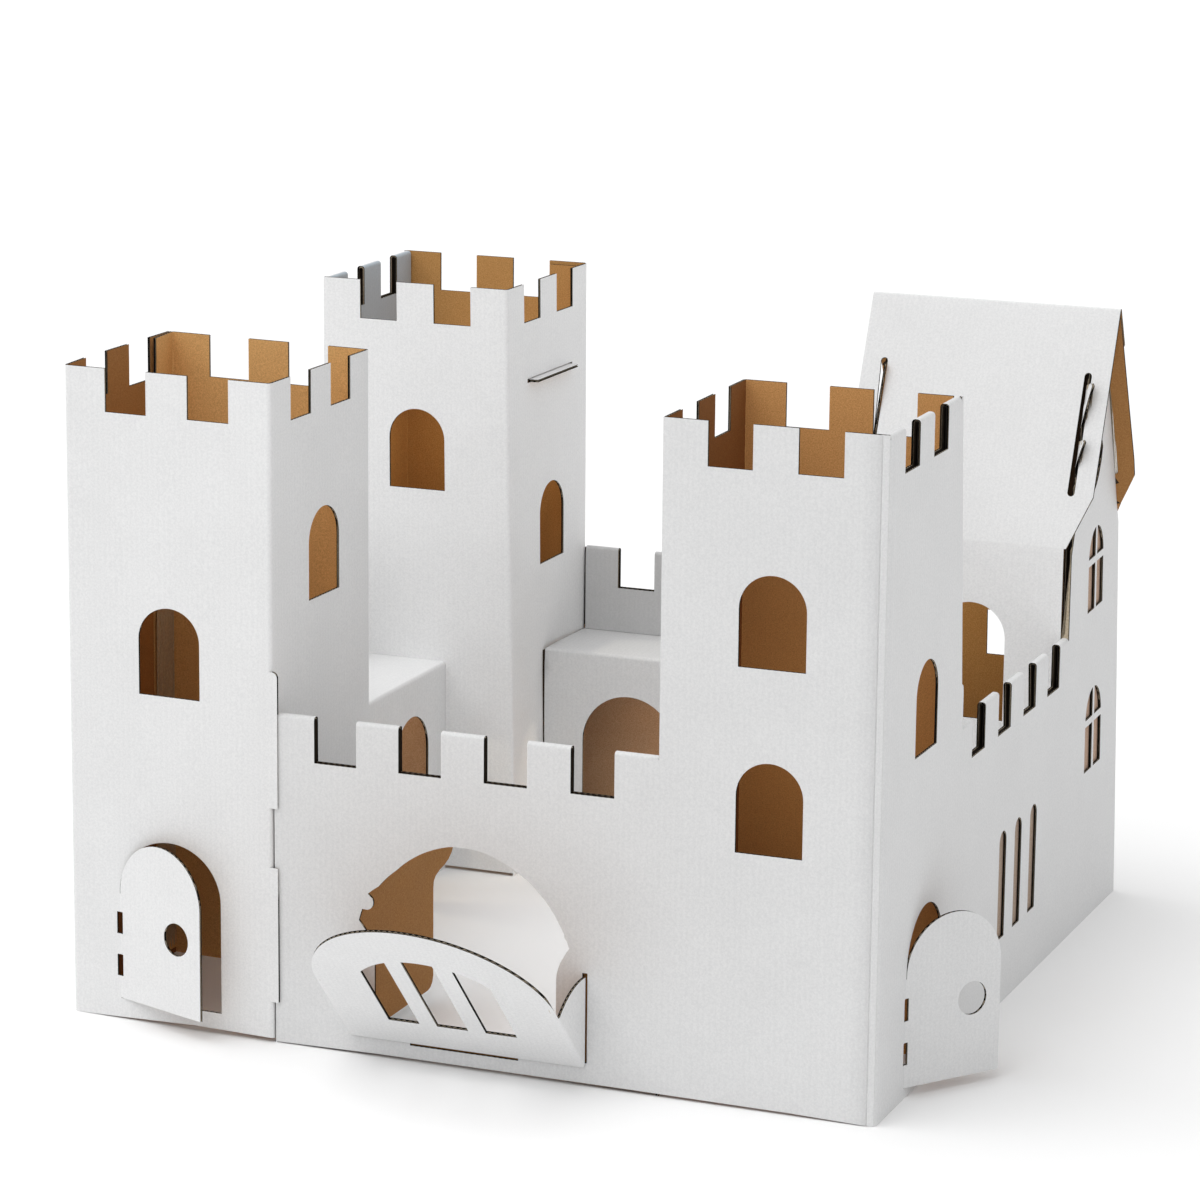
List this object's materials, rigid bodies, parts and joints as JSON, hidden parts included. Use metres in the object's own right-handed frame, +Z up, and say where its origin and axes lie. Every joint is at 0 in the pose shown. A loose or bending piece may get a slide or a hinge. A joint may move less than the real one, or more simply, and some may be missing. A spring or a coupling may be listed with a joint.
{
  "type": "cardboard play castle",
  "caption": "Open play castle folded from white corrugated card, with square battlemented towers, walls with a gate and drawbridge, raised walkways round a yard, and a steep-roofed house.",
  "frame": {"origin": "on the floor, at the middle of the whole footprint with the lowered bridge and the open door included", "axes": "+Z up, the gate front faces -Y, the gabled house is at +X +Y"},
  "size_m": [0.4968, 0.5325, 0.359],
  "materials": {
    "white_card": "matte white liner outside, brown kraft inside"
  },
  "bodies": {
    "root": {"tower_front_left": "white_card", "outer_wall_front": "white_card", "tower_front_right_inner": "white_card", "drawbridge": "white_card", "outer_wall_rear": "white_card", "tower_back_left_inner": "white_card", "tower_back_left_floor": "white_card", "left_wing": "white_card", "back_wing": "white_card", "house_front_and_roof": "white_card", "house_back_and_roof": "white_card", "house_gable_left": "white_card", "house_gable_right": "white_card"}
  },
  "joints": []
}
